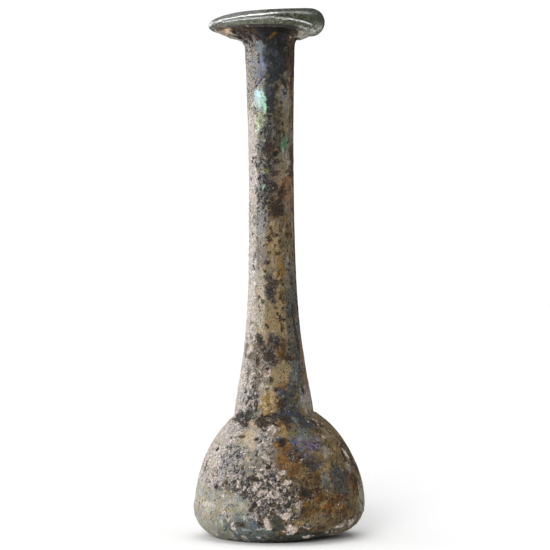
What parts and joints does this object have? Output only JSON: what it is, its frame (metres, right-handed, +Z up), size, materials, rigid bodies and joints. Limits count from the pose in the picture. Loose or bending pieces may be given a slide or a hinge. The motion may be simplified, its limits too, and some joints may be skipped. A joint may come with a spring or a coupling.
{
  "type": "glass unguentarium",
  "caption": "Tall blown-glass perfume bottle: bell-shaped bulb, long narrow neck and thick folded rim, under an iridescent, crusted patina.",
  "frame": {"origin": "middle of the underside, at the height of the ring that the vessel stands on", "axes": "+Z up through the mouth; +X towards the side with the heavy lip; -Y towards the side that faces the viewer"},
  "size_m": [0.0558, 0.0558, 0.1712],
  "materials": {
    "weathered_glass": "pale green blown glass, see-through at the rim and low on the bulb, elsewhere under cream, grey and brown burial crust with iridescent flakes"
  },
  "bodies": {
    "root": {"unguentarium": "weathered_glass"}
  },
  "joints": []
}
